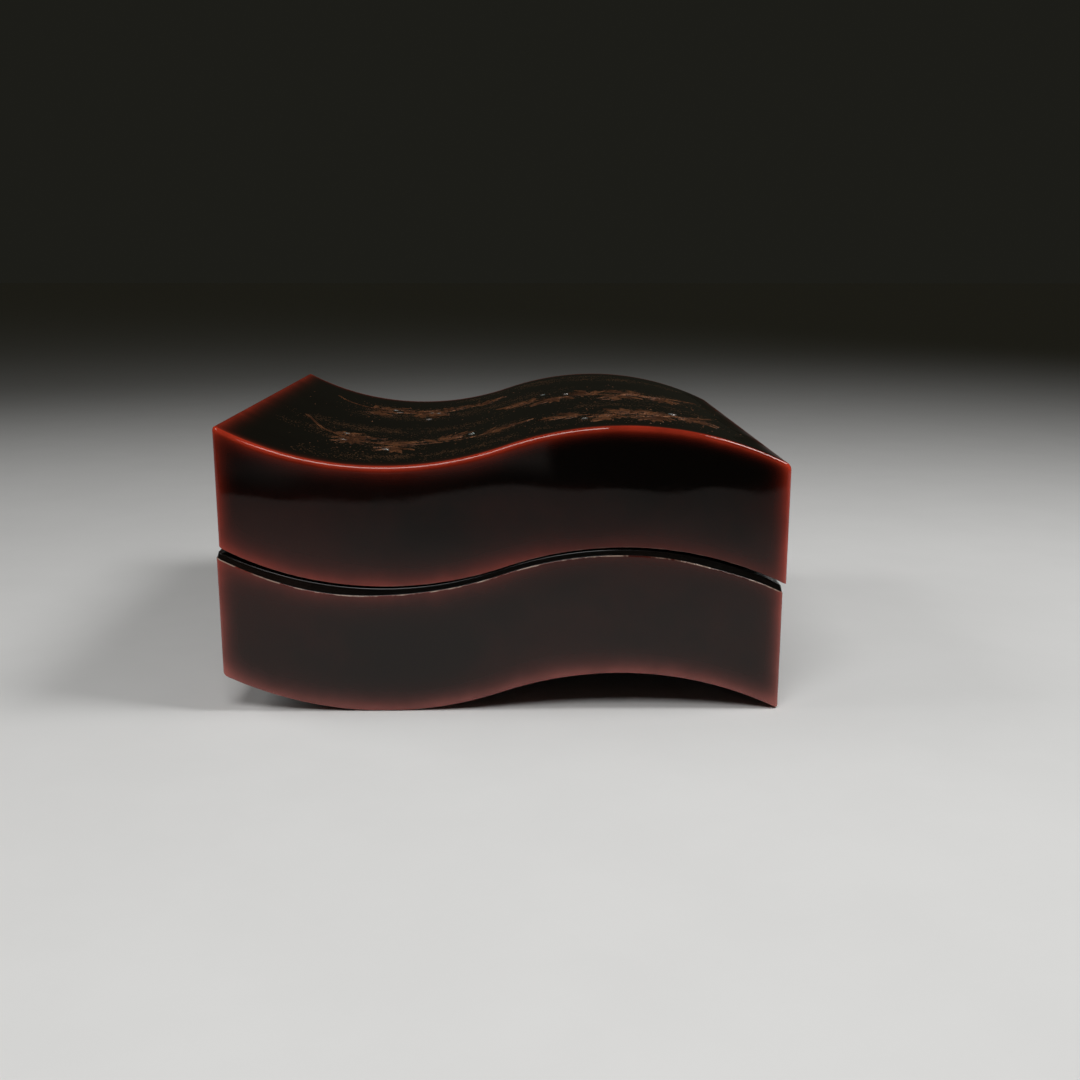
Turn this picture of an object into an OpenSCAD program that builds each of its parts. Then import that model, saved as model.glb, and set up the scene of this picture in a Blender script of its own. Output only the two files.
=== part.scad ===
// Incense box in the shape of a wave: a lidded box, square in plan, joined from thin boards.
// X runs along the wave, Y into the depth, Z up. The origin is the middle of the footprint, on the table.
// Every wave line is the same curve at another level: a hollow arc on the left, a swelling arc on the right.

/* [Box] */
// Width along the wave
box_w = 72; // [60:1:90]
// Depth across the wave
box_d = 72; // [50:1:90]
// Height of the wave, from its trough to its crest
wave_h = 5; // [3:0.25:7]
// Radius of the upright outer corners
corner_r = 0.6; // [0.2:0.1:1.2]

/* [Base] */
// Height of the base, from its underside to its rim
base_h = 16.5; // [12:0.5:26]
// Bevel along the outer edge of the base's rim, which opens the groove at the seam
rim_bevel = 0.8; // [0.4:0.1:1.2]
// Depth of the flat that is rubbed into the underside where it stands
foot_cut = 0.06; // [0.03:0.01:0.12]

/* [Lid] */
// Height of the lid, from its underside to its top
lid_h = 15.5; // [11:0.5:24]
// Bevel along the outer edges of the lid
lid_bevel = 0.4; // [0.2:0.1:0.8]

/* [Boards] */
// Thickness of the base's walls
wall_t = 4; // [3.5:0.25:6]
// Thickness of the curved top and bottom boards
board_t = 3.2; // [2.4:0.2:5]
// Depth of the rebates in the walls that seat the boards and the end walls
rebate = 2; // [1:0.25:2.25]

/* [Lip] */
// Thickness of the strips that line the base and rise into the lid
lip_t = 1.6; // [1:0.1:2.4]
// Height of the strips above the base's rim
lip_rise = 3; // [1.5:0.5:6]

/* [Fits] */
// Play between the lip and the lid's walls, on each side
lid_play = 0.5; // [0.2:0.05:0.8]
// Share of that play by which the lid sits to the right
lid_lean = 0.8; // [0:0.1:0.8]
// Least gap between the lid's underside and the base's rim
seat_gap = 0.15; // [0.1:0.05:0.4]
// Thickness of the glue in the joints
glue_line = 0.05; // [0.02:0.01:0.1]

/* [Hidden] */
$fn = 240;

lacquer_red = "#5a1a10";
lacquer_dark = "#2b110c";
lacquer_black = "#15100e";
left = -1;
right = 1;
above = 1;
below = -1;
past = 1; // how far a cutting shape runs past the surface that it cuts

half_w = box_w / 2;
half_d = box_d / 2;
half_wave = wave_h / 2;

// Trough and crest lie this far from the middle, which brings each end level with the farther of the two
wave_reach = sqrt(2 * (half_w ^ 2 + half_wave ^ 2)) - half_w;
touch_r = (wave_reach ^ 2 + half_wave ^ 2) / wave_h; // radius at which the two arcs just touch
arc_lap = 0.005; // added to it, so that the arcs cross cleanly
wave_r = touch_r + arc_lap;
wave_c = touch_r - half_wave; // from the wave's middle level to the centre of an arc
wave_slope = wave_reach / wave_c; // steepest rise, at the middle
trough = wave_r - wave_c; // depth of the trough below the middle level

// Middle levels of the wave lines, from the table up
foot_level = trough - foot_cut;
floor_level = foot_level + board_t;
rim_level = foot_level + base_h;
lip_level = rim_level + lip_rise;
lid_shift = lid_play * lid_lean;
lid_level = rim_level + seat_gap + lid_shift * wave_slope;
top_level = lid_level + lid_h;
ceiling_level = top_level - board_t;

lid_wall_t = wall_t - lid_play;
lip_x = half_w - wall_t - glue_line; // outer faces of the lip
lip_y = half_d - wall_t - glue_line;
mitre_gap = glue_line / sqrt(2);

// Height of the wave line above its middle level at x
function wave(x) =
    x < 0 ? wave_c - sqrt(wave_r ^ 2 - (x + wave_reach) ^ 2)
          : sqrt(wave_r ^ 2 - (x - wave_reach) ^ 2) - wave_c;

// Everything from a flat bottom up to the wave line at a level, in X and Z
module under_wave(level, bottom, reach_x) {
    tall = level + wave_h - bottom;
    intersection() {
        translate([-reach_x, bottom]) square([2 * reach_x, tall]);
        union() {
            difference() {
                translate([-reach_x - past, bottom - past]) square([reach_x + past, tall + past]);
                translate([-wave_reach, level + wave_c]) circle(wave_r);
            }
            translate([wave_reach, level - wave_c]) circle(wave_r);
        }
    }
}

// Outline between the wave lines at two levels
module wave_band(low, high) {
    bottom = low - 2 * wave_h;
    difference() {
        under_wave(high, bottom, half_w);
        under_wave(low, bottom - past, half_w + past);
    }
}

// That outline carried along the depth, from one Y to another
module wave_slab(low, high, y0, y1) {
    translate([0, y1, 0])
        rotate([90, 0, 0])
            linear_extrude(y1 - y0)
                wave_band(low, high);
}

// Tilts what it holds across the depth: it rises by the slope for each step back from the front face
module tilted(slope) {
    multmatrix([[1, 0, 0, 0], [0, 1, 0, 0], [0, slope, 1, slope * half_d], [0, 0, 0, 1]])
        children();
}

// Upright block with the rounded corners of the plan
module plan_block(low, high) {
    inner_w = box_w - 2 * corner_r;
    inner_d = box_d - 2 * corner_r;
    translate([0, 0, low - wave_h])
        linear_extrude(high - low + 2 * wave_h) {
            square([box_w, inner_d], center = true);
            square([inner_w, box_d], center = true);
            for (x = [-inner_w / 2, inner_w / 2], y = [-inner_d / 2, inner_d / 2])
                translate([x, y]) circle(corner_r);
        }
}

// Waste of the bevel along one end, above or below the wave line at a level
module end_waste(side, level, bevel, dir) {
    edge_x = side * half_w;
    inner_x = edge_x - side * bevel;
    start = level + wave(edge_x) - dir * bevel;
    rise = (level + wave(inner_x) - start) / bevel;
    outer_cut = edge_x + side * past;
    inner_cut = inner_x - side * past;
    far = level + dir * 2 * wave_h;
    translate([0, half_d + past, 0])
        rotate([90, 0, 0])
            linear_extrude(box_d + 2 * past)
                polygon([
                    [outer_cut, start - rise * past],
                    [inner_cut, start + rise * (bevel + past)],
                    [inner_cut, far],
                    [outer_cut, far]
                ]);
}

// What is rubbed off below the table's plane
module below_table() {
    translate([-half_w - past, -half_d - past, -past])
        cube([box_w + 2 * past, box_d + 2 * past, past]);
}

// Front wall of a half: bevelled outside, rebated inside along the board and at both ends
module long_wall(low, high, t, seat_low, seat_high) {
    inner_y = -half_d + t;
    seat_y = inner_y - rebate;
    tall = high - low + 2 * wave_h;
    difference() {
        intersection() {
            wave_slab(low, high, -half_d, inner_y);
            plan_block(low, high);
            children();
        }
        wave_slab(seat_low, seat_high, seat_y, inner_y + past);
        for (side = [left, right])
            translate([side * half_w, seat_y + (rebate + past) / 2, (low + high) / 2])
                cube([2 * (t + glue_line), rebate + past, tall], center = true);
    }
}

// End wall of a half: its ends lap into the long walls, its inside is rebated along the board
module end_wall(side, low, high, t, seat_low, seat_high) {
    end_y = half_d - t + rebate - glue_line;
    tall = high - low + 2 * wave_h;
    difference() {
        intersection() {
            wave_slab(low, high, -end_y, end_y);
            translate([side * half_w, 0, (low + high) / 2])
                cube([2 * t, box_d, tall], center = true);
        }
        intersection() {
            wave_slab(seat_low, seat_high, -half_d, half_d);
            cube([2 * (half_w - t + rebate), 2 * box_d, 2 * (seat_high + wave_h)], center = true);
        }
    }
}

// Curved board that lies in the rebates of a half's four walls
module curved_board(low, high, t) {
    end_x = half_w - t + rebate - glue_line;
    end_y = half_d - t + rebate - glue_line;
    intersection() {
        wave_slab(low, high, -end_y, end_y);
        cube([2 * end_x, box_d, 2 * (high + wave_h)], center = true);
    }
}

// Strip of the lip over a four-cornered plan, from the bottom board to above the rim
module lip_strip(plan) {
    intersection() {
        wave_slab(floor_level + glue_line, lip_level, -half_d, half_d);
        linear_extrude(top_level) polygon(plan);
    }
}

module base_long_wall() {
    difference() {
        long_wall(foot_level, rim_level, wall_t, foot_level - past, floor_level + glue_line)
            tilted(1)
                wave_slab(foot_level - wall_t - 2 * past, rim_level - rim_bevel, -half_d - past, 0);
        for (side = [left, right])
            end_waste(side, rim_level, rim_bevel, above);
        below_table();
    }
}

module base_end_wall(side) {
    difference() {
        end_wall(side, foot_level, rim_level, wall_t, foot_level - past, floor_level + glue_line);
        end_waste(side, rim_level, rim_bevel, above);
        below_table();
    }
}

module lid_long_wall() {
    difference() {
        long_wall(lid_level, top_level, lid_wall_t, ceiling_level - glue_line, top_level + past)
            intersection() {
                tilted(1)
                    wave_slab(lid_level - half_d, top_level - lid_bevel, -half_d - past, -half_d + wall_t);
                tilted(-1)
                    wave_slab(lid_level + lid_bevel, top_level + half_d, -half_d - past, -half_d + wall_t);
            }
        for (side = [left, right]) {
            end_waste(side, top_level, lid_bevel, above);
            end_waste(side, lid_level, lid_bevel, below);
        }
    }
}

module lid_end_wall(side) {
    difference() {
        end_wall(side, lid_level, top_level, lid_wall_t, ceiling_level - glue_line, top_level + past);
        end_waste(side, top_level, lid_bevel, above);
        end_waste(side, lid_level, lid_bevel, below);
    }
}

// The lid sits a little to the right on the lip
module on_lip() {
    translate([lid_shift, 0, 0]) children();
}

module lid_top_board() {
    color(lacquer_red) on_lip() curved_board(ceiling_level, top_level, lid_wall_t);
}

module lid_front_wall() {
    color(lacquer_dark) on_lip() lid_long_wall();
}

module lid_back_wall() {
    color(lacquer_dark) on_lip() mirror([0, 1, 0]) lid_long_wall();
}

module lid_left_wall() {
    color(lacquer_dark) on_lip() lid_end_wall(left);
}

module lid_right_wall() {
    color(lacquer_dark) on_lip() lid_end_wall(right);
}

module lip_front() {
    color(lacquer_black)
        lip_strip([
            [-lip_x + mitre_gap, -lip_y],
            [lip_x - mitre_gap, -lip_y],
            [lip_x - mitre_gap - lip_t, -lip_y + lip_t],
            [-lip_x + mitre_gap + lip_t, -lip_y + lip_t]
        ]);
}

module lip_back() {
    mirror([0, 1, 0]) lip_front();
}

module lip_side(side) {
    color(lacquer_black)
        lip_strip([
            [side * lip_x, -lip_y + mitre_gap],
            [side * lip_x, lip_y - mitre_gap],
            [side * (lip_x - lip_t), lip_y - mitre_gap - lip_t],
            [side * (lip_x - lip_t), -lip_y + mitre_gap + lip_t]
        ]);
}

module lip_left() {
    lip_side(left);
}

module lip_right() {
    lip_side(right);
}

module base_bottom_board() {
    color(lacquer_red)
        difference() {
            curved_board(foot_level, floor_level, wall_t);
            below_table();
        }
}

module base_front_wall() {
    color(lacquer_dark) base_long_wall();
}

module base_back_wall() {
    color(lacquer_dark) mirror([0, 1, 0]) base_long_wall();
}

module base_left_wall() {
    color(lacquer_dark) base_end_wall(left);
}

module base_right_wall() {
    color(lacquer_dark) base_end_wall(right);
}

lid_top_board();
lid_front_wall();
lid_back_wall();
lid_left_wall();
lid_right_wall();
lip_front();
lip_back();
lip_left();
lip_right();
base_bottom_board();
base_front_wall();
base_back_wall();
base_left_wall();
base_right_wall();
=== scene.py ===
import math

import bpy
import numpy as np
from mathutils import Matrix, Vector


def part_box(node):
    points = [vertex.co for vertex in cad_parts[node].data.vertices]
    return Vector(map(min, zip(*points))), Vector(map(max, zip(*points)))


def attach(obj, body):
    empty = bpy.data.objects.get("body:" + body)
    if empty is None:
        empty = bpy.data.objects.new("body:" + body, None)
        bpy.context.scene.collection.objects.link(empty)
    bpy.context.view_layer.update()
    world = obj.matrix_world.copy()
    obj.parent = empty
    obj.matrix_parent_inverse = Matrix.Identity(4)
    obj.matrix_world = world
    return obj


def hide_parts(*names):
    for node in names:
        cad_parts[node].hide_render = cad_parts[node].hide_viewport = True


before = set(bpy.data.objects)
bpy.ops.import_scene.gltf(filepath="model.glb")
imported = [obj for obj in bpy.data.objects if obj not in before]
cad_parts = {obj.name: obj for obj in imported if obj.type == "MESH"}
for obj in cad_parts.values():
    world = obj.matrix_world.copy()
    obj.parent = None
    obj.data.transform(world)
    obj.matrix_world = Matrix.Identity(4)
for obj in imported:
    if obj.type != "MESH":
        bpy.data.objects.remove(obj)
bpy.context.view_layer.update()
mm = 0.001
scene = bpy.context.scene
scene.view_settings.view_transform = "Standard"
print("frame loaded:", len(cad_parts), "boards")

# The wave, and the levels at which it runs through the box

waveForm = {
    "height": 5.0 * mm,     # trough to crest
    "footCut": 0.06 * mm,   # rubbed flat where the box stands
}
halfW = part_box("base_front_wall")[1].x
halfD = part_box("base_back_wall")[1].y
halfWave = waveForm["height"] / 2
waveReach = math.sqrt(2 * (halfW**2 + halfWave**2)) - halfW
waveRadius = (waveReach**2 + halfWave**2) / waveForm["height"]
waveCentre = waveRadius - halfWave

lidShift = (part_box("lid_front_wall")[0].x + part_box("lid_front_wall")[1].x) / 2
footLevel = halfWave - waveForm["footCut"]
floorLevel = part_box("base_bottom_board")[1].z - halfWave
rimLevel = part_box("base_front_wall")[1].z - halfWave
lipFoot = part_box("lip_front")[0].z + halfWave
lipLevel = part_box("lip_front")[1].z - halfWave
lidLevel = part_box("lid_front_wall")[0].z + halfWave
reliefRoom = 0.08 * mm      # height kept for the raised work on the lid
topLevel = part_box("lid_top_board")[1].z - halfWave - reliefRoom
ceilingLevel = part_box("lid_top_board")[0].z + halfWave
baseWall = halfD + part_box("base_front_wall")[1].y
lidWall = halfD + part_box("lid_front_wall")[1].y
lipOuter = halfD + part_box("lip_front")[0].y
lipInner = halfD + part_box("lip_front")[1].y


def waveLine(x):
    # two arcs of one radius that touch at x = 0, hollow on the left and swelling on the right
    return np.sign(x) * (np.sqrt(waveRadius**2 - (np.abs(x) - waveReach) ** 2) - waveCentre)


# Node helpers

def addNode(tree, kind, inputs=None, **settings):
    node = tree.nodes.new(kind)
    for name, value in settings.items():
        setattr(node, name, value)
    for name, value in (inputs or {}).items():
        if isinstance(value, bpy.types.NodeSocket):
            tree.links.new(value, node.inputs[name])
        else:
            node.inputs[name].default_value = value
    return node


def addMath(tree, operation, *values):
    return addNode(tree, "ShaderNodeMath", dict(enumerate(values)), operation=operation).outputs[0]


def mixColour(tree, factor, first, second):
    node = addNode(tree, "ShaderNodeMix", {0: factor, 6: first, 7: second}, data_type="RGBA")
    return node.outputs[2]


def rampBetween(tree, value, low, high, toLow=0.0, toHigh=1.0):
    inputs = {0: value, 1: low, 2: high, 3: toLow, 4: toHigh}
    return addNode(tree, "ShaderNodeMapRange", inputs, interpolation_type="SMOOTHSTEP").outputs[0]


def addNoise(tree, place, scale, detail, roughness):
    inputs = {"Vector": place, "Scale": scale, "Detail": detail, "Roughness": roughness}
    return addNode(tree, "ShaderNodeTexNoise", inputs).outputs["Fac"]


def newMaterial(name, values):
    material = bpy.data.materials.new(name)
    material.use_nodes = True
    shader = material.node_tree.nodes["Principled BSDF"]
    for key, value in values.items():
        shader.inputs[key].default_value = value
    return material, material.node_tree, shader


def newGroup(name, inputs, outputs):
    tree = bpy.data.node_groups.new(name, "ShaderNodeTree")
    for socket, value in inputs.items():
        made = tree.interface.new_socket(name=socket, in_out="INPUT", socket_type="NodeSocketFloat")
        made.default_value = value
    for socket in outputs:
        tree.interface.new_socket(name=socket, in_out="OUTPUT", socket_type="NodeSocketFloat")
    given = tree.nodes.new("NodeGroupInput")
    result = tree.nodes.new("NodeGroupOutput")
    place = addNode(tree, "ShaderNodeTexCoord").outputs["Object"]
    return tree, given.outputs, result.inputs, place


def addGroup(tree, group, inputs=None):
    return addNode(tree, "ShaderNodeGroup", inputs, node_tree=group).outputs


def addBump(tree, shader, height, distance):
    bump = addNode(tree, "ShaderNodeBump", {"Height": height, "Distance": distance})
    tree.links.new(bump.outputs["Normal"], shader.inputs["Normal"])


# Finishes: each noise is given as its scale, detail and roughness

polishForm = {
    "slow": (68.0, 1.0, 0.5),
    "slowStart": (0.963, 0.673, 0.101),     # where in the noise the slow waves are taken from
    "fine": (900.0, 2.0, 0.5),
    "fineShare": 0.006,
    "clouds": (48.0, 5.0, 0.62),
}


def makePolish():
    # hand-rubbed surface: slow waves about 15 mm long, and a faint ripple about 1 mm long on top
    inputs, outputs = {"Ripple": polishForm["fineShare"]}, ["Height", "Cloud"]
    tree, given, result, place = newGroup("handPolish", inputs, outputs)
    moved = addNode(tree, "ShaderNodeMapping", {"Vector": place, "Location": polishForm["slowStart"]})
    slow = addNoise(tree, moved.outputs[0], *polishForm["slow"])
    fine = addNoise(tree, place, *polishForm["fine"])
    height = addMath(tree, "ADD", slow, addMath(tree, "MULTIPLY", fine, given["Ripple"]))
    tree.links.new(height, result["Height"])
    tree.links.new(addNoise(tree, place, *polishForm["clouds"]), result["Cloud"])
    return tree


sprinkleForm = {"density": 0.5, "grains": 5500.0}


def makeSprinkle():
    # powder shaken through a tube: one random value for each tiny cell, kept where it is under the density
    inputs = {"Density": sprinkleForm["density"], "Grains": sprinkleForm["grains"]}
    tree, given, result, place = newGroup("sprinkledPowder", inputs, ["Mask", "Tone"])
    cells = addNode(tree, "ShaderNodeTexVoronoi", {"Vector": place, "Scale": given["Grains"]})
    channels = addNode(tree, "ShaderNodeSeparateColor", {0: cells.outputs["Color"]}).outputs
    kept = addMath(tree, "LESS_THAN", channels[0], given["Density"])
    tree.links.new(kept, result["Mask"])
    tree.links.new(channels[1], result["Tone"])
    return tree


handPolish = makePolish()
sprinkledPowder = makeSprinkle()

amberForm = {
    "deep": (0.0012, 0.0006, 0.0003, 1),
    "cloudy": (0.016, 0.003, 0.002, 1),
    "cloudSpan": (0.38, 0.72),          # noise values between which the clouds come in
    "cloudEnd": (26 * mm, 31 * mm),     # heights between which they die out
    "edgeRed": (0.62, 0.052, 0.022, 1),
    "footRed": (0.46, 0.13, 0.11, 1),   # paler towards the foot
    "footRise": 34 * mm,
    "stray": (190.0, 4.0, 0.5),         # unevenness of the red
    "wobble": 0.8,
    "wornAndHighlight": (0.34, 0.24, 0.19, 1),      # pale broken line along the rim, partly wear and partly a painted highlight
    "wornAndHighlightLine": (0.08, 0.18),           # mm from the rim
    "wornAndHighlightNoise": (420.0, 3.0, 0.65),
    "wornAndHighlightSpan": (0.42, 0.6),
    "dullNoise": (700.0, 4.0, 0.7),
    "dullSpan": (0.45, 0.8),
    "roughness": (0.025, 0.07),
    "waviness": 150e-6,
    "gloss": 0.4,
    "tint": (1.0, 0.9, 0.86, 1),
}
dustForm = {
    "dark": (0.07, 0.03, 0.014, 1),
    "gold": (0.15, 0.075, 0.036, 1),
    "driftNoise": (240.0, 3.0, 0.6),
    "driftSpan": (0.32, 0.7),
    "most": 0.62,
    "metal": 0.5,
    "dull": 0.35,                       # added to the lacquer's roughness
}


def makeAmberLacquer():
    # amber lacquer over red: near black where it is thick, red where it is rubbed thin at the edges
    gloss = {"Specular IOR Level": amberForm["gloss"], "Specular Tint": amberForm["tint"]}
    material, tree, shader = newMaterial("amberLacquer", gloss)
    place = addNode(tree, "ShaderNodeTexCoord").outputs["Object"]
    polish = addGroup(tree, handPolish)
    # the red's share is 1 - exp(-exp(-depth)), with the depth a little uneven
    depth = addNode(tree, "ShaderNodeAttribute", attribute_name="glowDepth").outputs["Fac"]
    stray = addMath(tree, "SUBTRACT", addNoise(tree, place, *amberForm["stray"]), 0.5)
    strayed = addMath(tree, "MULTIPLY_ADD", stray, 2 * amberForm["wobble"], depth)
    thin = addMath(tree, "EXPONENT", addMath(tree, "MULTIPLY", strayed, -1.0))
    glow = addMath(tree, "SUBTRACT", 1.0, addMath(tree, "EXPONENT", addMath(tree, "MULTIPLY", thin, -1.0)))
    height = addNode(tree, "ShaderNodeSeparateXYZ", {0: place}).outputs["Z"]
    foot = rampBetween(tree, height, 0.0, amberForm["footRise"], 1.0, 0.0)
    red = mixColour(tree, foot, amberForm["edgeRed"], amberForm["footRed"])
    low = rampBetween(tree, height, *amberForm["cloudEnd"], 1.0, 0.0)
    cloud = addMath(tree, "MULTIPLY", low, rampBetween(tree, polish["Cloud"], *amberForm["cloudSpan"]))
    body = mixColour(tree, cloud, amberForm["deep"], amberForm["cloudy"])
    colour = mixColour(tree, glow, body, red)
    # pale broken line along the low edges and at the bevel's foot: wear, and at the bevel's foot a painted
    # highlight
    rim = addNode(tree, "ShaderNodeAttribute", attribute_name="rimAway").outputs["Fac"]
    line = rampBetween(tree, rim, *amberForm["wornAndHighlightLine"], 1.0, 0.0)
    broken = rampBetween(tree, addNoise(tree, place, *amberForm["wornAndHighlightNoise"]), *amberForm["wornAndHighlightSpan"])
    colour = mixColour(tree, addMath(tree, "MULTIPLY", line, broken), colour, amberForm["wornAndHighlight"])
    # fine gold powder on the top, as dense as the surface's own dust value
    dust = addNode(tree, "ShaderNodeAttribute", attribute_name="dust").outputs["Fac"]
    drift = addNoise(tree, place, *dustForm["driftNoise"])
    drift = rampBetween(tree, drift, *dustForm["driftSpan"], 0.0, dustForm["most"])
    powder = addGroup(tree, sprinkledPowder, {"Density": addMath(tree, "MULTIPLY", dust, drift)})
    gold = mixColour(tree, powder["Tone"], dustForm["dark"], dustForm["gold"])
    tree.links.new(mixColour(tree, powder["Mask"], colour, gold), shader.inputs["Base Color"])
    tree.links.new(addMath(tree, "MULTIPLY", powder["Mask"], dustForm["metal"]), shader.inputs["Metallic"])
    dull = addNoise(tree, place, *amberForm["dullNoise"])
    dull = rampBetween(tree, dull, *amberForm["dullSpan"], *amberForm["roughness"])
    dull = addMath(tree, "MULTIPLY_ADD", powder["Mask"], dustForm["dull"], dull)
    tree.links.new(dull, shader.inputs["Roughness"])
    addBump(tree, shader, polish["Height"], amberForm["waviness"])
    return material


blackForm = {
    "deep": (0.0045, 0.0038, 0.0034, 1),
    "brownish": (0.0095, 0.0058, 0.0045, 1),
    "cloudSpan": (0.42, 0.78),
    "dullNoise": (500.0, 4.0, 0.7),
    "dullSpan": (0.35, 0.8),
    "roughness": (0.12, 0.26),
    "ripple": 0.02,
    "waviness": 40e-6,
    "gloss": 0.34,
}


def makeBlackLacquer():
    # plain black lacquer, a little brown where the light goes through it
    material, tree, shader = newMaterial("blackLacquer", {"Specular IOR Level": blackForm["gloss"]})
    place = addNode(tree, "ShaderNodeTexCoord").outputs["Object"]
    polish = addGroup(tree, handPolish, {"Ripple": blackForm["ripple"]})
    cloud = rampBetween(tree, polish["Cloud"], *blackForm["cloudSpan"])
    colour = mixColour(tree, cloud, blackForm["deep"], blackForm["brownish"])
    tree.links.new(colour, shader.inputs["Base Color"])
    dull = addNoise(tree, place, *blackForm["dullNoise"])
    dull = rampBetween(tree, dull, *blackForm["dullSpan"], *blackForm["roughness"])
    tree.links.new(dull, shader.inputs["Roughness"])
    addBump(tree, shader, polish["Height"], blackForm["waviness"])
    return material


goldForm = {
    "dark": (0.09, 0.033, 0.014, 1),
    "bright": (0.29, 0.115, 0.046, 1),
    "density": 0.78,
    "rubNoise": (330.0, 3.0, 0.6),
    "rubSpan": (0.35, 0.68),
    "toneShare": (0.6, 0.4),            # of a grain's own tone, and of all grains alike
    "roughness": (0.34, 0.56),
    "metal": 0.55,
    "grain": 12e-6,
}


def makeGoldPowder():
    # brown-gold powder set in lacquer: grains of two tones, rough, with the ground showing between them
    material, tree, shader = newMaterial("goldPowder", {"Metallic": goldForm["metal"]})
    place = addNode(tree, "ShaderNodeTexCoord").outputs["Object"]
    powder = addGroup(tree, sprinkledPowder, {"Density": goldForm["density"]})
    rubbed = rampBetween(tree, addNoise(tree, place, *goldForm["rubNoise"]), *goldForm["rubSpan"])
    tone = addMath(tree, "MULTIPLY_ADD", powder["Tone"], *goldForm["toneShare"])
    gold = mixColour(tree, addMath(tree, "MULTIPLY", rubbed, tone), goldForm["dark"], goldForm["bright"])
    colour = mixColour(tree, powder["Mask"], amberForm["deep"], gold)
    tree.links.new(colour, shader.inputs["Base Color"])
    dull = rampBetween(tree, powder["Tone"], 0.0, 1.0, *goldForm["roughness"])
    tree.links.new(dull, shader.inputs["Roughness"])
    addBump(tree, shader, powder["Tone"], goldForm["grain"])
    return material


shellForm = {
    "cool": (0.24, 0.31, 0.3, 1),
    "warm": (0.38, 0.33, 0.31, 1),
    "bandNoise": (900.0, 2.0, 0.6),
    "bandSpan": (0.35, 0.65),
    "relief": 6e-6,
    "gloss": {"Metallic": 0.35, "Roughness": 0.22, "IOR": 1.6},
}


def makeShell():
    # slips of pearl shell, each with drifting cool and warm bands
    material, tree, shader = newMaterial("pearlShell", shellForm["gloss"])
    place = addNode(tree, "ShaderNodeTexCoord").outputs["Object"]
    bands = rampBetween(tree, addNoise(tree, place, *shellForm["bandNoise"]), *shellForm["bandSpan"])
    tree.links.new(mixColour(tree, bands, shellForm["cool"], shellForm["warm"]), shader.inputs["Base Color"])
    addBump(tree, shader, bands, shellForm["relief"])
    return material


amberLacquer = makeAmberLacquer()
blackLacquer = makeBlackLacquer()
goldPowder = makeGoldPowder()
pearlShell = makeShell()
print("finishes made")

# Outline of the plan, shared by every ring of the skins

outlineForm = {
    "nearCorner": [0.0, 0.12, 0.28, 0.5, 0.8, 1.2, 1.7, 2.4, 3.3, 4.5, 6.0, 8.0],  # mm from a corner
    "alongSide": 20,        # further steps to the middle of a side
    "cornerSteps": 6,
    "corner": 0.6 * mm,     # rounding of the four upright edges
    "sharpest": 0.1 * mm,
    "middle": 0.02,         # the smallest ring, as a share of the whole
}


def gradedSide():
    # places from -1 to 1 along a side, close together near its two corners
    near = np.array(outlineForm["nearCorner"]) * mm
    far = np.linspace(near[-1], halfW, outlineForm["alongSide"] + 1)[1:]
    fromCorner = np.concatenate([near, far]) / halfW - 1.0
    return np.concatenate([fromCorner, -fromCorner[-2::-1]])


def planOutline():
    # a rounded square as x = sx * (half - r) + cx * r and y = sy * (half - r) + cy * r, side after side
    side = gradedSide()
    turn = np.linspace(-90, 0, outlineForm["cornerSteps"] + 1)[1:-1]
    sx, sy, cx, cy = [], [], [], []
    for quarter in range(4):
        cosQ, sinQ = round(math.cos(quarter * math.pi / 2)), round(math.sin(quarter * math.pi / 2))
        arc = np.radians(turn + 90 * quarter)
        sx += [cosQ * side + sinQ, np.full(len(arc), cosQ + sinQ)]
        sy += [sinQ * side - cosQ, np.full(len(arc), sinQ - cosQ)]
        cx += [np.full(len(side), sinQ), np.cos(arc)]
        cy += [np.full(len(side), -cosQ), np.sin(arc)]
    return [np.concatenate(part) for part in (sx, sy, cx, cy)]


outline = planOutline()
outlineCount = len(outline[0])


def ringPoints(inset, corner, scale):
    # a row of plan points for each ring: the outline drawn in by inset, then scaled about the middle
    sx, sy, cx, cy = outline
    r, k = corner[:, None], scale[:, None]
    return k * (sx * (halfW - inset[:, None] - r) + cx * r), k * (sy * (halfD - inset[:, None] - r) + cy * r)


def quarterTurn(steps, start=0.0, end=90.0):
    # even angles from start to end, given in degrees
    return np.radians(np.linspace(start, end, steps))


def crowded(start, end, near, steps):
    # places from start to end, both left out, close together near the two ends
    close = np.array(near) * mm * np.sign(end - start)
    return np.concatenate([start + close, np.linspace(start + close[-1], end - close[-1], steps)[1:-1],
                           (end - close)[::-1]])


def outward(edge, near, steps):
    # scales from a small middle ring out to 1, close together near the outside
    close = 1 - np.array(near[::-1]) * mm / edge
    return np.concatenate([np.linspace(outlineForm["middle"], close[0], steps)[:-1], close, [1.0]])


def profile(*parts):
    # joins stretches of (inset, level, corner, scale) into four whole columns
    rows = []
    for part in parts:
        columns = [np.atleast_1d(np.asarray(column, float)) for column in part]
        rows.append(np.broadcast_arrays(*columns))
    return [np.concatenate([row[i] for row in rows]) for i in range(4)]


def outerCorner(inset):
    # the corners grow sharper as a ring is drawn in
    return np.maximum(outlineForm["corner"] - inset, outlineForm["sharpest"])


# Mesh makers

def addPiece(name, points, faces, materials, body, faceMaterial=None):
    mesh = bpy.data.meshes.new(name)
    mesh.from_pydata(points.reshape(-1, 3).tolist(), [], faces)
    for material in materials:
        mesh.materials.append(material)
    if faceMaterial is not None:
        mesh.polygons.foreach_set("material_index", np.asarray(faceMaterial, np.int32))
    mesh.polygons.foreach_set("use_smooth", np.ones(len(mesh.polygons), bool))
    mesh.update()
    piece = bpy.data.objects.new(name, mesh)
    scene.collection.objects.link(piece)
    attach(piece, body)
    print(name, "has", len(mesh.vertices), "points")
    return piece


def addAttribute(piece, name, values):
    made = piece.data.attributes.new(name, "FLOAT", "POINT")
    made.data.foreach_set("value", np.ravel(values).astype(np.float32))


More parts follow.
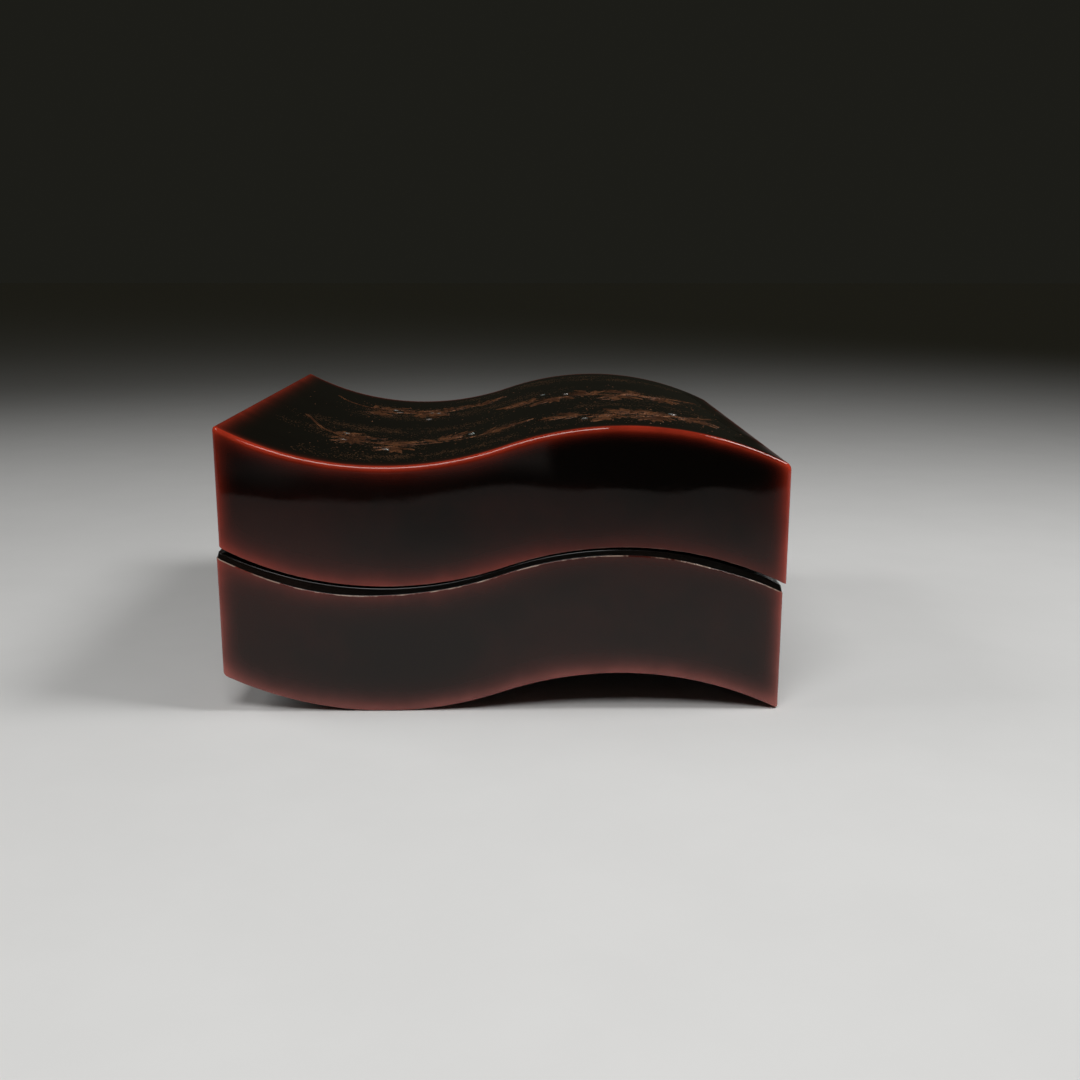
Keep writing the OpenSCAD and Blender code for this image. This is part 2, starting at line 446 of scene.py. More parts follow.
def ringFaces(rings, count, closed=False):
    # quads between neighbouring rings, all the way round the outline
    i, j = np.meshgrid(np.arange(rings if closed else rings - 1), np.arange(count), indexing="ij")
    up, along = (i + 1) % rings, (j + 1) % count
    return np.stack([i * count + j, i * count + along, up * count + along, up * count + j], -1).reshape(-1, 4)


def poleFaces(ring, pole, count):
    # triangles that close a ring over its pole
    j = np.arange(count)
    return np.stack([np.full(count, pole), ring * count + (j + 1) % count, ring * count + j], -1)


def closedSkin(x, y, z, poles):
    # points and faces of stacked rings that are closed at both ends by a pole
    rings, count = x.shape
    points = np.concatenate([np.stack([x, y, z], -1).reshape(-1, 3), np.array(poles)])
    sides = ringFaces(rings, count)
    first = poleFaces(0, rings * count, count)
    last = poleFaces(rings - 1, rings * count + 1, count)[:, ::-1]
    return points, sides, first, last


def coatOfFaces(shown, sides, first, last):
    # the outer coat on the shown rings and the first pole, and the inner coat past them
    inner = np.arange(len(sides)) // outlineCount >= shown - 1
    return np.concatenate([inner, np.zeros(len(first)), np.ones(len(last))])


glowForm = {"from": -6 * mm, "to": 12 * mm}   # where along x the hollow's glow goes over to the swelling's
farOff = 30.0   # mm, for surfaces with no red and no worn line or painted highlight


def glowDepth(edges):
    # each edge glows as strength times exp(-distance / fade), and minus the logarithm of the sum is kept
    glow = sum(strength * np.exp(-distance / fade) for distance, (strength, fade) in edges)
    return -np.log(glow + math.exp(-farOff))


def alongWave(hollow, swelling, x):
    # strength and fade of a glow, eased from the hollow's pair to the swelling's pair
    share = np.clip((x - glowForm["from"]) / (glowForm["to"] - glowForm["from"]), 0, 1)
    share = share * share * (3 - 2 * share)
    return [a + (b - a) * share for a, b in zip(hollow, swelling)]


def uprightGlow(form, x):
    # strength and fade at the upright edges, one pair on the left and another on the right
    left, right = [np.array(form[key])[:, None, None] for key in ("leftGlow", "rightGlow")]
    return np.where(x < 0, left, right)


# Plan of the decoration on the lid: sprays of slender leaves in drifting mist

sprayForm = {
    "routes": [             # root, bend and tip of each stem in mm, seen from above
        [(-30, -3), (-24, -20), (-4, -18)],
        [(30, 9), (20, -5), (5, 3)],
        [(29, -13), (24, -26), (11, -23)],
        [(-29, 25), (-21, 14), (-7, 19)],
    ],
    "steps": 26,
    "sway": 0.35 * mm,
    "swayTurn": 17,         # radians along a stem
    "swayPlan": (0.4, 1.0),
    "sprigs": 6,            # on each stem
    "firstSprig": 0.28,     # share of the stem that is bare
    "sprigReach": 4.2 * mm,
    "sprigVary": (0.8, 1.15),
    "sprigTurn": 50,        # degrees off the stem
    "sprigStray": 0.25,     # radians
    "sprigBow": 0.18,
    "hub": 5,               # step of a sprig about which powder, flecks and slips lie
    "leaves": 7,            # on each sprig
    "firstLeaf": 0.2,
    "leafTurn": 62,
    "leafOpen": 1.2,        # less the share along the sprig, so the leaves close towards its tip
    "leafStray": 0.2,
    "leafBow": 0.14,
    "leafReach": (2.6 * mm, 4.2 * mm),
    "shortSteps": 9,        # along a sprig or a leaf
    "field": 28 * mm,       # past this the plan is drawn in, and nothing passes the border
    "border": 33 * mm,
}
mistForm = {
    "drifts": [             # x, y, length and half width in mm
        (-16, -4, 34, 3.4), (-8, 12, 38, 3.6), (16, 26, 30, 3.0), (20, -12, 26, 3.0),
        (-10, -29, 36, 3.0), (-24, -12, 17, 2.4), (26, 5, 15, 2.4), (4, 30, 30, 2.2),
    ],
    "curl": 0.55 * mm,
    "curlTurn": 2.6,        # radians in half a length
    "bell": 1.6,
    "strength": 0.75,
    "sprigHaze": 0.85,
    "sprigReach": 3.4 * mm,
}
draw = np.random.default_rng(23)


def curvePath(routes, t):
    # quadratic curve from a root past a bend to a tip
    root, bend, tip = [routes[:, i, None, :] for i in range(3)]
    t = t[:, None]
    return (1 - t) ** 2 * root + 2 * t * (1 - t) * bend + t**2 * tip


def bentPath(root, heading, reach, bow, s):
    # a run from the root along its heading, bowed sideways as a parabola
    out = np.stack([np.cos(heading), np.sin(heading)], -1)
    side = np.stack([-out[:, 1], out[:, 0]], -1)
    along, across = reach[:, None] * s, (reach * bow)[:, None] * 4 * s * (1 - s)
    return root[:, None] + out[:, None] * along[..., None] + side[:, None] * across[..., None]


def drawnIn(plan):
    # keeps the field as it is and eases what lies past it towards the border
    field, border = sprayForm["field"], sprayForm["border"]
    past = np.abs(plan) - field
    eased = field + (border - field) * np.tanh(past / (border - field))
    return np.where(past > 0, np.sign(plan) * eased, plan)


def strayBy(key, shape):
    # random values to either side of nought
    return draw.uniform(-sprayForm[key], sprayForm[key], shape)


def planSprays():
    # stems with a slight sway, sprigs to either side of them in turn, and leaves to either side of each sprig
    routes = np.array(sprayForm["routes"], float) * mm
    last = sprayForm["steps"] - 1
    t = np.linspace(0, 1, sprayForm["steps"])
    s = np.linspace(0, 1, sprayForm["shortSteps"])
    sway = sprayForm["sway"] * np.sin(t * sprayForm["swayTurn"] + np.arange(len(routes))[:, None])
    stems = curvePath(routes, t) + sway[..., None] * np.array(sprayForm["swayPlan"])
    step = np.linspace(last * sprayForm["firstSprig"], last, sprayForm["sprigs"]).astype(int)
    ahead = stems[:, step] - stems[:, step - 2]
    turn = np.radians(sprayForm["sprigTurn"]) * np.where(np.arange(len(step)) % 2, -1, 1)
    turn[-1] = 0
    heading = np.arctan2(ahead[..., 1], ahead[..., 0]) + turn + strayBy("sprigStray", ahead.shape[:2])
    heading = heading.ravel()
    reach = sprayForm["sprigReach"] * draw.uniform(*sprayForm["sprigVary"], len(heading))
    bow = strayBy("sprigBow", len(heading))
    sprigs = bentPath(stems[:, step].reshape(-1, 2), heading, reach, bow, s)
    share = np.linspace(sprayForm["firstLeaf"], 1, sprayForm["leaves"])
    side = np.where(np.arange(len(share)) % 2, -1, 1)
    away = np.radians(sprayForm["leafTurn"]) * (sprayForm["leafOpen"] - share) * side
    away[-1] = 0
    leafHeading = heading[:, None] + away + strayBy("leafStray", (len(heading), len(share)))
    leafReach = draw.uniform(*sprayForm["leafReach"], leafHeading.size)
    leafRoot = sprigs[:, (share * (len(s) - 1)).round().astype(int)].reshape(-1, 2)
    leafBow = strayBy("leafBow", leafHeading.size)
    leaves = bentPath(leafRoot, leafHeading.ravel(), leafReach, leafBow, s)
    return drawnIn(stems), drawnIn(sprigs), drawnIn(leaves), leafReach


def dustOnTop(x, y):
    # the most of some long drifts, each a bell across a shallow S, and a round bell about every sprig
    driftX, driftY, length, half = (np.array(mistForm["drifts"], float) * mm).T[:, :, None, None]
    s = (x - driftX) / (length / 2)
    v = (y - driftY - mistForm["curl"] * np.sin(mistForm["curlTurn"] * s + driftX / mm)) / half
    drifts = mistForm["strength"] * np.exp(-mistForm["bell"] * v**2) * np.clip(1 - s**4, 0, 1)
    middle = sprigs[:, sprayForm["hub"], :, None, None]
    far = np.hypot(x - middle[:, 0], y - middle[:, 1]) / mistForm["sprigReach"]
    return np.maximum(drifts.max(0), (mistForm["sprigHaze"] * np.exp(-far**2)).max(0))


stems, sprigs, leaves, leafReach = planSprays()
print("decoration planned:", len(leaves), "leaves")

# Lid

lidForm = {
    "topEdge": (0.45 * mm, 0.8 * mm),   # its run and its fall
    "lowEdge": 0.15 * mm,
    "innerEdge": 0.3 * mm,
    "innerCorner": 1.2 * mm,
    "fillet": 0.9 * mm,
    "nearEdge": [0.12, 0.28, 0.5, 0.8, 1.2, 1.7, 2.4, 3.3, 4.5],   # mm from an edge
    "evenGlow": 0.5,        # mm about the top edge in which the glow stays even
    "topGlow": [(0.27, 0.6), (0.48, 0.3)],   # strength and fade in mm, in the hollow and on the swelling
    # core: red on the middle of the top edge's rounding, partly the lacquer's own and partly a painted
    # highlight tint, strongest in the hollow
    "topCoreAndHighlight": [(0.45, 0.1), (0.05, 0.1)],
    "sideGlow": (0.42, 0.52),
    "lowGlow": [(0.5, 0.95), (0.14, 1.1)],
    "leftGlow": (0.65, 0.55),
    "rightGlow": (1.5, 0.55),
    "lowWear": 0.07,        # mm by which the worn line along the low edge is narrowed
    "cocked": 0.21 * mm,    # the left end stands a little proud
    "cockedRun": 11 * mm,
}


def lidWave(x):
    # the box's wave, with its left end lifted along a parabola
    rise = np.clip((lidForm["cockedRun"] - halfW - x) / lidForm["cockedRun"], 0, 1)
    return waveLine(x) + lidForm["cocked"] * rise**2


def lidProfile():
    # from the middle of the top over the edge, down the side, under the rim and up the inside
    top, fall = lidForm["topEdge"]
    low, inner, fillet = [lidForm[key] for key in ("lowEdge", "innerEdge", "fillet")]
    near, inCorner = lidForm["nearEdge"], lidForm["innerCorner"]
    topScale = outward(halfW - top, near, steps=40)
    turn, short = quarterTurn(steps=8), quarterTurn(steps=5)
    topInset, lowInset = top * (1 - np.sin(turn[1:])), low * (1 - np.cos(turn))
    rimInset = np.linspace(low, lidWall - inner, 6)[1:-1]
    rimCorner = np.linspace(outerCorner(low), inCorner, 6)[1:-1]
    outside = profile(
        (top, topLevel, outerCorner(top), topScale),
        (topInset, topLevel - fall * (1 - np.cos(turn[1:])), outerCorner(topInset), 1),
        (0, crowded(topLevel - fall, lidLevel + low, near[:7], steps=9), outlineForm["corner"], 1),
        (lowInset, lidLevel + low * (1 - np.sin(turn)), outerCorner(lowInset), 1),
    )
    inside = profile(
        (rimInset, lidLevel, rimCorner, 1),
        (lidWall - inner + inner * np.sin(short), lidLevel + inner * (1 - np.cos(short)), inCorner, 1),
        (lidWall, np.linspace(lidLevel + inner, ceilingLevel - fillet, 8)[1:-1], inCorner, 1),
        (lidWall + fillet * (1 - np.cos(short)), ceilingLevel - fillet * (1 - np.sin(short)), inCorner, 1),
        (lidWall + fillet, ceilingLevel, inCorner, outward(halfW - lidWall, near[3:], steps=16)[-2::-1]),
    )
    return outside, inside


def makeLid():
    # the profile carried round the plan, and every point lifted by the wave at its x
    outside, inside = lidProfile()
    inset, level, corner, scale = [np.concatenate(pair) for pair in zip(outside, inside)]
    x, y = ringPoints(inset, corner, scale)
    z = level[:, None] + lidWave(x)
    poles = [(lidShift, 0, topLevel), (lidShift, 0, ceilingLevel)]
    points, sides, first, last = closedSkin(x + lidShift, y, z, poles)
    faces = sides[:, ::-1].tolist() + first[:, ::-1].tolist() + last[:, ::-1].tolist()
    shown = len(outside[0])
    coats, coat = [amberLacquer, blackLacquer], coatOfFaces(shown, sides, first, last)
    piece = addPiece("lidShell", points, faces, coats, "lid", coat)
    fromX, fromY = (halfW - np.abs(x)) / mm, (halfD - np.abs(y)) / mm
    fromTop, fromLow = (topLevel - level[:, None]) / mm, (level[:, None] - lidLevel) / mm
    # the core's red is partly a painted highlight tint where the top edge's highlight falls
    top, coreAndHighlight, low = [alongWave(*lidForm[key], x) for key in ("topGlow", "topCoreAndHighlight", "lowGlow")]
    topFront = np.maximum(np.hypot(fromTop, fromY) - lidForm["evenGlow"], 0)
    topSide = np.maximum(np.hypot(fromTop, fromX) - lidForm["evenGlow"], 0)
    depth = glowDepth([(topFront, top), (topFront, coreAndHighlight), (topSide, lidForm["sideGlow"]),
                       (np.hypot(fromX, fromY), uprightGlow(lidForm, x)),
                       (np.hypot(fromLow, fromX), low), (np.hypot(fromLow, fromY), low)])
    depth[shown:] = farOff
    rimAway = lidForm["lowWear"] + np.hypot(fromLow, np.minimum(fromX, fromY))
    rimAway[shown:] = farOff
    dust = np.where(fromTop > 0.001, 0, dustOnTop(x, y))    # none past the flat of the top
    addAttribute(piece, "glowDepth", np.append(depth, [farOff, farOff]))
    addAttribute(piece, "rimAway", np.append(rimAway, [farOff, farOff]))
    addAttribute(piece, "dust", np.append(dust, [dust[0].mean(), 0]))
    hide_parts("lid_top_board", "lid_front_wall", "lid_back_wall", "lid_left_wall", "lid_right_wall")


makeLid()

# Base

baseForm = {
    "lowEdge": 0.45 * mm,
    "bead": 0.12 * mm,      # rounded end of the amber coat
    "beadTurn": 80,         # degrees
    "bevelRun": 0.3 * mm,
    "bevelRise": 0.74 * mm,
    "bevelSpan": (0.06, 0.94),   # the flat share of the bevel
    "bevelDips": [(-24, 9, 0.42), (28, 5, 0.22)],   # cut deeper here: place, half length and depth in mm
    "dipReach": 6 * mm,     # how far below the bevel a dip dies out
    "dipRoom": 0.1 * mm,    # a dip reaches this far in past the bevel
    "bevelEdge": 0.06 * mm,
    "edgeFrom": 40,         # degrees at which the bevel's upper edge starts to turn
    "edgeGap": 0.02 * mm,
    "innerCorner": 0.4 * mm,
    "nearEdge": [0.12, 0.28, 0.5, 0.8, 1.2, 1.7, 2.4, 3.3, 4.5],   # mm from an edge
    "rimGlow": [(0.21, 1.1), (0.09, 1.0)],   # strength and fade in mm, in the hollow and on the swelling
    "lowGlow": (1.1, 0.82),
    "leftGlow": (0.85, 0.6),
    "rightGlow": (1.3, 0.55),
    "lowWear": 0.05,        # mm by which the worn line along the low edge is narrowed
}


def baseProfile():
    # from the middle of the underside over the edge, up the side, over the bevelled rim and down the inside
    low, bead, soft = [baseForm[key] for key in ("lowEdge", "bead", "bevelEdge")]
    run, rise = baseForm["bevelRun"], baseForm["bevelRise"]
    near, inCorner = baseForm["nearEdge"], baseForm["innerCorner"]
    bevelFoot = rimLevel - rise
    turn, over = quarterTurn(steps=6)[1:], quarterTurn(steps=7, end=baseForm["beadTurn"])
    ease = quarterTurn(steps=4, start=baseForm["edgeFrom"])
    lowInset, beadInset = low * (1 - np.sin(turn)), bead * (1 - np.cos(over))
    slant = np.linspace(*baseForm["bevelSpan"], 5)
    slantInset = beadInset[-1] + (run - beadInset[-1]) * slant
    easeInset = run + soft * (1 - np.cos(ease)) + baseForm["edgeGap"]
    rimInset = np.linspace(run + 2 * soft, baseWall, 6)[1:]
    rimCorner = np.linspace(outlineForm["sharpest"], inCorner, 6)[1:]
    outside = profile(
        (low, footLevel, outerCorner(low), outward(halfW - low, near, steps=20)),
        (lowInset, footLevel + low * (1 - np.cos(turn)), outerCorner(lowInset), 1),
        (0, crowded(footLevel + low, bevelFoot - bead, near[:7], steps=9), outlineForm["corner"], 1),
        (beadInset, bevelFoot - bead * (1 - np.sin(over)), outerCorner(beadInset), 1),
    )
    inside = profile(
        (slantInset, bevelFoot + rise * slant, outerCorner(slantInset), 1),
        (easeInset, rimLevel - soft * (1 - np.sin(ease)), outlineForm["sharpest"], 1),
        (rimInset, rimLevel, rimCorner, 1),
        (baseWall, np.linspace(rimLevel, floorLevel, 6)[1:], inCorner, 1),
        (baseWall, floorLevel, inCorner, outward(halfW - baseWall, near[4:], steps=16)[-2::-1]),
    )
    return outside, inside


def bevelDip(x, y, level):
    # hand-cut unevenness: bells along x that draw the bevel's foot down, fading out above and below it
    foot = rimLevel - baseForm["bevelRise"]
    place, half, depth = np.array(baseForm["bevelDips"]).T[:, :, None, None] * mm
    bells = (depth * np.exp(-(((x - place) / half) ** 2))).sum(0)
    above = np.clip((rimLevel - level) / baseForm["bevelRise"], 0, 1)
    below = np.clip((level - foot + baseForm["dipReach"]) / baseForm["dipReach"], 0, 1)
    outer = np.maximum(np.abs(x), np.abs(y)) > halfW - baseForm["bevelRun"] - baseForm["dipRoom"]
    return bells * np.where(level > foot, above, below) * outer


def makeBase():
    # the profile carried round the plan, lifted by the wave less the bevel's dips, and flat where it stands
    outside, inside = baseProfile()
    inset, level, corner, scale = [np.concatenate(pair) for pair in zip(outside, inside)]
    x, y = ringPoints(inset, corner, scale)
    z = np.maximum(level[:, None] + waveLine(x) - bevelDip(x, y, level[:, None]), 0)
    points, sides, first, last = closedSkin(x, y, z, [(0, 0, footLevel), (0, 0, floorLevel)])
    faces = sides.tolist() + first.tolist() + last.tolist()
    shown = len(outside[0])
    coats, coat = [amberLacquer, blackLacquer], coatOfFaces(shown, sides, first, last)
    piece = addPiece("baseShell", points, faces, coats, "base", coat)
    fromX, fromY = (halfW - np.abs(x)) / mm, (halfD - np.abs(y)) / mm
    bevelFoot = rimLevel - baseForm["bevelRise"]
    fromLow, fromRim = (level[:, None] - footLevel) / mm, np.abs(bevelFoot - level[:, None]) / mm
    rim = alongWave(*baseForm["rimGlow"], x)
    low = baseForm["lowGlow"]
    depth = glowDepth([(np.hypot(fromRim, fromX), rim), (np.hypot(fromRim, fromY), rim),
                       (np.hypot(fromX, fromY), uprightGlow(baseForm, x)),
                       (np.hypot(fromLow, fromX), low), (np.hypot(fromLow, fromY), low)])
    depth[shown:] = farOff
    # distance to the bevel's foot, where the painted highlight line lies, or to the worn low edge
    rimAway = np.minimum(fromRim, baseForm["lowWear"] + np.hypot(fromLow, np.minimum(fromX, fromY)))
    rimAway[shown:] = farOff
    addAttribute(piece, "glowDepth", np.append(depth, [farOff, farOff]))
    addAttribute(piece, "rimAway", np.append(rimAway, [farOff, farOff]))
    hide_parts("base_bottom_board", "base_front_wall", "base_back_wall",
                "base_left_wall", "base_right_wall")


makeBase()

# Lip

lipForm = {"topEdge": 0.45 * mm, "corner": 0.4 * mm, "innerCorner": 1.0 * mm}


def makeLip():
    # a closed band with a rounded top, carried round the plan
    soft = lipForm["topEdge"]
    turn = quarterTurn(steps=5)
    drawn, sunk = soft * (1 - np.cos(turn)), soft * (1 - np.sin(turn))
    rise = np.linspace(lipFoot, lipLevel - soft, 6)
    inset, level, corner, scale = profile(
        (lipOuter, rise[:-1], lipForm["corner"], 1),
        (lipOuter + drawn, lipLevel - sunk, lipForm["corner"], 1),
        (lipInner - sunk, lipLevel - drawn, lipForm["innerCorner"], 1),
        (lipInner, rise[-2::-1], lipForm["innerCorner"], 1),
    )
    x, y = ringPoints(inset, corner, scale)
    points = np.stack([x, y, level[:, None] + waveLine(x)], -1)
    faces = ringFaces(len(inset), outlineCount, closed=True).tolist()
    piece = addPiece("lipFrame", points, faces, [blackLacquer], "base")
    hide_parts("lip_front", "lip_back", "lip_left", "lip_right")


makeLip()
print("box made")

# Raised work on the lid

raisedForm = {
    "stemWidth": (0.4 * mm, 0.16 * mm),     # half widths at root and tip
    "sprigWidth": (0.17 * mm, 0.09 * mm),
    "leafWidth": 0.62 * mm,
    "stemRise": 0.055 * mm,
    "sprigRise": 0.045 * mm,
    "leafRise": (0.03 * mm, 0.06 * mm),
    "fleckRise": 0.03 * mm,
    "slipRise": 0.068 * mm,
    "sink": 0.03 * mm,      # how far it reaches down into the lacquer
    "stemSection": [        # place across, share of the rise and share of the sink
        (-1, 0, 1), (-0.6, 0.75, 0), (0, 1, 0), (0.6, 0.75, 0), (1, 0, 1), (0, 0, 1.5),
    ],
    "leafSection": [
        (-1, 0, 1), (-0.8, 0.8, 0), (-0.4, 1, 0), (0, 0.35, 0),
        (0.4, 1, 0), (0.8, 0.8, 0), (1, 0, 1), (0, 0, 1.5),
    ],
    "knot": 0.2,
    "knotTurn": 41,         # radians along a stem
    "leafSwell": 0.8,       # under 1, the leaf is widest before its middle
    "leafEnd": 0.03 * mm,
}
fleckForm = {
    "count": 240,
    "sides": 6,
    "spread": 5.0 * mm,
    "size": (0.06 * mm, 0.17 * mm),
    "slim": (0.5, 0.95),
}
slipForm = {
    "count": 13,
    "sides": 5,
    "spread": 2.6 * mm,
    "size": (0.35 * mm, 0.6 * mm),
    "slim": (0.22, 0.4),
}
sink = raisedForm["sink"]


def onLid(x, y, lift):
    # plan places carried up onto the waved top
    return np.stack([x + lidShift, y + 0 * x, topLevel + lidWave(x) + lift], -1)


def ribbonMesh(centre, halfWidth, section, rise):
    # a low section carried along each path: the path plus its normal times the half width
    across, rises, sinks = np.array(section).T
    along = np.gradient(centre, axis=1)
    along /= np.linalg.norm(along, axis=-1, keepdims=True)
    side = halfWidth[..., None] * across
    x = centre[..., 0, None] - along[..., 1, None] * side
    y = centre[..., 1, None] + along[..., 0, None] * side
    count, steps, ring = side.shape
    points = onLid(x, y, rise * rises - sink * sinks)
    start = np.arange(count)[:, None, None] * steps * ring
    quads = (ringFaces(steps, ring)[None] + start).reshape(-1, 4)[:, ::-1]
    ends = np.arange(ring)
    caps = np.concatenate([start[:, 0] + ends, start[:, 0] + (steps - 1) * ring + ends[::-1]])
    return points, quads.tolist() + caps.tolist()


def plateMesh(x, y, radiusX, radiusY, turned, sides, rise):
    # small flat plates: a ring of corners above and the same ring below
    angle = turned[:, None] + np.arange(sides) * 2 * math.pi / sides
    px, py = x[:, None] + radiusX[:, None] * np.cos(angle), y[:, None] + radiusY[:, None] * np.sin(angle)
    points = np.stack([onLid(px, py, -sink), onLid(px, py, rise)], 1)
    start = np.arange(len(x))[:, None, None] * 2 * sides
    quads = (ringFaces(2, sides)[None] + start).reshape(-1, 4)
    ends = np.arange(sides)
    caps = np.concatenate([start[:, 0] + ends[::-1], start[:, 0] + sides + ends])
    return points, quads.tolist() + caps.tolist()


def makeStems(name, paths, width, rise):
    # a rounded section that tapers from root to tip, a little knotted
    t = np.linspace(0, 1, paths.shape[1])
    knots = 1 + raisedForm["knot"] * np.sin(t * raisedForm["knotTurn"] + np.arange(len(paths))[:, None])
    half = (width[0] + (width[1] - width[0]) * t) * knots
    points, faces = ribbonMesh(paths, half, raisedForm["stemSection"], rise)
    addPiece(name, points, faces, [goldPowder], "lid")


def makeLeaves():
    # half width = the leaf's share of the widest times sin(pi * u^swell), with a groove along the midrib
    u = np.linspace(0, 1, leaves.shape[1])
    widest = raisedForm["leafWidth"] * leafReach / sprayForm["leafReach"][1]
    half = widest[:, None] * np.sin(math.pi * u ** raisedForm["leafSwell"]) + raisedForm["leafEnd"]
    rise = draw.uniform(*raisedForm["leafRise"], len(leaves))[:, None, None]
    points, faces = ribbonMesh(leaves, half, raisedForm["leafSection"], rise)
    addPiece("leaves", points, faces, [goldPowder], "lid")


def makeScattered(name, form, rise, material):
    # small cut plates strewn about the sprigs
    count = form["count"]
    middle = sprigs[draw.integers(0, len(sprigs), count), sprayForm["hub"]]
    x, y = drawnIn(middle + draw.normal(0, form["spread"], (count, 2))).T
    size = draw.uniform(*form["size"], count)
    turned = draw.uniform(0, 2 * math.pi, count)
    slim = draw.uniform(*form["slim"], count)
    points, faces = plateMesh(x, y, size, size * slim, turned, form["sides"], rise)
    addPiece(name, points, faces, [material], "lid")


makeStems("stems", stems, raisedForm["stemWidth"], raisedForm["stemRise"])
makeStems("sprigs", sprigs, raisedForm["sprigWidth"], raisedForm["sprigRise"])
makeLeaves()
makeScattered("goldFlecks", fleckForm, raisedForm["fleckRise"], goldPowder)
makeScattered("shellSlips", slipForm, raisedForm["slipRise"], pearlShell)
print("raised work made")

# Floor, light and camera

floorForm = {
    "size": 6.0,
    "pale": (0.72, 0.718, 0.708, 1),
    "shade": (0.705, 0.703, 0.693, 1),
    "mottleNoise": (60.0, 5.0, 0.6),
    "mottleSpan": (0.3, 0.7),
    "roughness": 0.75,
    "front": -0.189,        # where the paper ends, as mirrors see it, and how its edge slants
    "slant": 0.05,
    "soft": 0.004,
    "near": -0.05,          # mirrors see it fade from here to its end, a painted shade for light falling off in front
    "fade": 0.6,
    "dark": (0.008, 0.008, 0.007, 1),   # past its end
    "dim": (0.22, 0.213, 0.207, 1),     # and further off on the left, past a dark strip
    "strip": 0.007,
    "reach": 0.045,
    "dimSide": 0.012,
    "dimEnd": (-0.09, -0.06),   # it dies down again between these
    "dimLast": 0.3,
}
lampForm = {   # place, aim and size in metres, spread in degrees
    "key": {
        "place": (-0.055, -0.25, 0.32), "aim": (-0.055, -0.25, 0),
        "size": (0.16, 0.16), "watts": 0.505, "spread": 140, "mirrored": True,
    },
    "right": {
        "place": (0.218, -0.06, 0.312), "aim": (0.05, 0.03, 0),
        "size": (0.12, 0.12), "watts": 0.35, "spread": 120, "mirrored": True,
    },
    "fill": {
        "place": (-0.42, 0.05, 0.29), "aim": (-0.02, 0, 0),
        "size": (0.3, 0.3), "watts": 0.19, "spread": 80, "mirrored": False,
    },
}
worldForm = {"room": (0.015, 0.0143, 0.0102, 1), "backdrop": (0.0118, 0.0118, 0.0092, 1)}
cameraForm = {
    "place": (0.00225, -0.18525, 0.05711),
    "down": 12.96,          # degrees, and the next two
    "lean": -0.036,
    "turn": -0.993,
    "sensor": 36.0,
    "lens": 40.5,
    "nearest": 0.01,
}


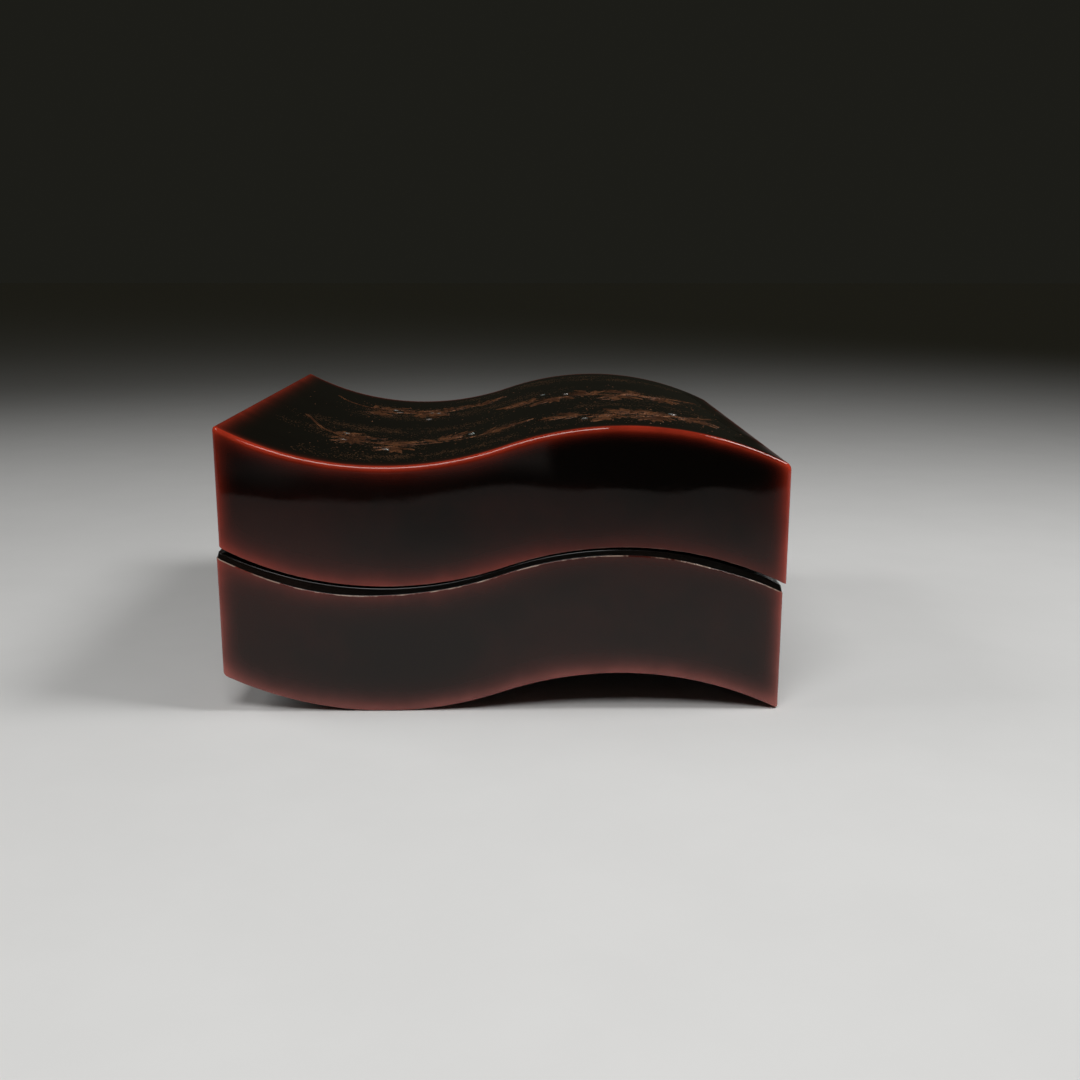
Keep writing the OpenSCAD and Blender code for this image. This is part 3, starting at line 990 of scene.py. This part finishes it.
def makeFloorPaper():
    # plain pale paper, which mirrors see as dark where it ends in front
    material, tree, shader = newMaterial("palePaper", {"Roughness": floorForm["roughness"]})
    place = addNode(tree, "ShaderNodeTexCoord").outputs["Object"]
    mottle = rampBetween(tree, addNoise(tree, place, *floorForm["mottleNoise"]), *floorForm["mottleSpan"])
    paper = mixColour(tree, mottle, floorForm["pale"], floorForm["shade"])
    across, depth, _ = addNode(tree, "ShaderNodeSeparateXYZ", {0: place}).outputs
    front, side, soft = [floorForm[key] for key in ("front", "dimSide", "soft")]
    stripEnd = front - floorForm["strip"]
    depth = addMath(tree, "MULTIPLY_ADD", across, floorForm["slant"], depth)
    beyond = rampBetween(tree, depth, front - soft, front + soft, 1.0, 0.0)
    further = rampBetween(tree, depth, stripEnd - floorForm["reach"], stripEnd, 1.0, 0.0)
    leftward = rampBetween(tree, across, side - soft / 2, side + soft / 2, 1.0, 0.0)
    ended = rampBetween(tree, across, *floorForm["dimEnd"], floorForm["dimLast"], 1.0)
    dimShare = addMath(tree, "MULTIPLY", further, addMath(tree, "MULTIPLY", leftward, ended))
    past = mixColour(tree, dimShare, floorForm["dark"], floorForm["dim"])
    # painted shade: mirrors see the paper darken towards its front end
    fade = rampBetween(tree, depth, front, floorForm["near"], floorForm["fade"], 0.0)
    faded = mixColour(tree, fade, paper, floorForm["dark"])
    mirrored = addNode(tree, "ShaderNodeLightPath").outputs["Is Glossy Ray"]
    colour = mixColour(tree, mirrored, paper, mixColour(tree, beyond, faded, past))
    tree.links.new(colour, shader.inputs["Base Color"])
    return material


def makeFloor():
    # one flat square under the box
    side = np.array([-0.5, 0.5]) * floorForm["size"]
    x, y = np.meshgrid(side, side)
    mesh = bpy.data.meshes.new("floor")
    mesh.from_pydata(np.stack([x, y, 0 * x], -1).reshape(-1, 3).tolist(), [], [[0, 1, 3, 2]])
    mesh.materials.append(makeFloorPaper())
    floor = bpy.data.objects.new("floor", mesh)
    scene.collection.objects.link(floor)


def makeLamps():
    # soft square lamps, unseen by the camera
    for name, form in lampForm.items():
        lamp = bpy.data.lights.new(name + "Lamp", "AREA")
        lamp.shape = "RECTANGLE"
        lamp.size, lamp.size_y = form["size"]
        lamp.energy = form["watts"]
        lamp.spread = math.radians(form["spread"])
        holder = bpy.data.objects.new(name + "Lamp", lamp)
        holder.location = form["place"]
        facing = Vector(form["aim"]) - Vector(form["place"])
        holder.rotation_euler = facing.to_track_quat("-Z", "Y").to_euler()
        holder.visible_camera = False
        holder.visible_glossy = form["mirrored"]
        scene.collection.objects.link(holder)


def makeWorld():
    # a dim room, which the camera sees as a dark backdrop
    world = bpy.data.worlds.new("dimRoom")
    world.use_nodes = True
    tree = world.node_tree
    seen = addNode(tree, "ShaderNodeLightPath").outputs["Is Camera Ray"]
    colour = mixColour(tree, seen, worldForm["room"], worldForm["backdrop"])
    tree.links.new(colour, tree.nodes["Background"].inputs["Color"])
    scene.world = world


def makeCamera():
    data = bpy.data.cameras.new("camera")
    data.sensor_width = cameraForm["sensor"]
    data.lens = cameraForm["lens"]
    data.clip_start = cameraForm["nearest"]
    camera = bpy.data.objects.new("camera", data)
    camera.location = cameraForm["place"]
    angles = (90 - cameraForm["down"], cameraForm["lean"], cameraForm["turn"])
    camera.rotation_euler = [math.radians(angle) for angle in angles]
    scene.collection.objects.link(camera)
    scene.camera = camera


makeFloor()
makeLamps()
makeWorld()
makeCamera()
print("floor, light and camera set")
